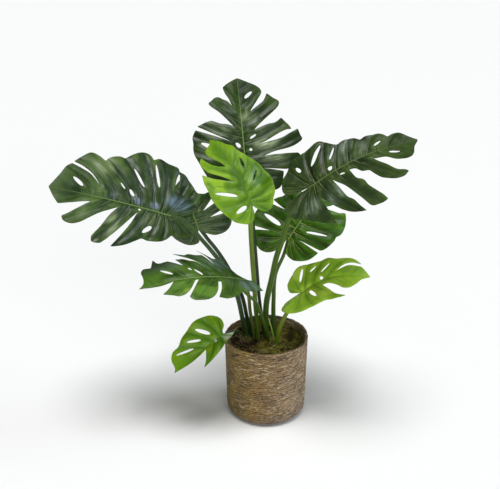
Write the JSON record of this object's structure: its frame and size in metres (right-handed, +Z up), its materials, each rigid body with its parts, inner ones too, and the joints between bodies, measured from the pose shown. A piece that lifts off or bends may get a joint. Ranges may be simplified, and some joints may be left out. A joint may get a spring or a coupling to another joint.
{
  "type": "potted monstera",
  "caption": "Potted monstera with split, holed leaves on tall stems, standing in a round basket of wound cord with moss on the soil.",
  "frame": {"origin": "centre of the basket's flat underside", "axes": "+Z up, -Y is the front that faces the viewer, +X to the viewer's right"},
  "size_m": [0.7971, 0.4043, 0.7661],
  "materials": {
    "basket_cord": "twisted dry grass cord, wound and sewn",
    "soil": "dark peat and bark filling",
    "moss": "dry tangled moss",
    "leaf_dark": "leathery dark green leaf with a soft sheen",
    "leaf_green": "leathery mid green leaf with a soft sheen",
    "leaf_bright": "leathery lime green leaf with a soft sheen",
    "stem_dark": "smooth dark green stem",
    "stem_bright": "smooth light green stem"
  },
  "bodies": {
    "root": {"basket": "basket_cord", "soil": "soil", "moss": "moss", "leaf_1": "leaf_dark", "leaf_2": "leaf_dark", "leaf_3": "leaf_dark", "leaf_4": "leaf_dark", "leaf_5": "leaf_green", "leaf_6": "leaf_bright", "leaf_7": "leaf_green", "leaf_8": "leaf_bright", "leaf_9": "leaf_bright", "petiole_1": "stem_dark", "petiole_2": "stem_dark", "petiole_3": "stem_dark", "petiole_4": "stem_dark", "petiole_5": "stem_dark", "petiole_6": "stem_bright", "petiole_7": "stem_dark", "petiole_8": "stem_bright", "petiole_9": "stem_bright", "old_stalk": "stem_dark", "young_sheath": "stem_bright"}
  },
  "joints": []
}
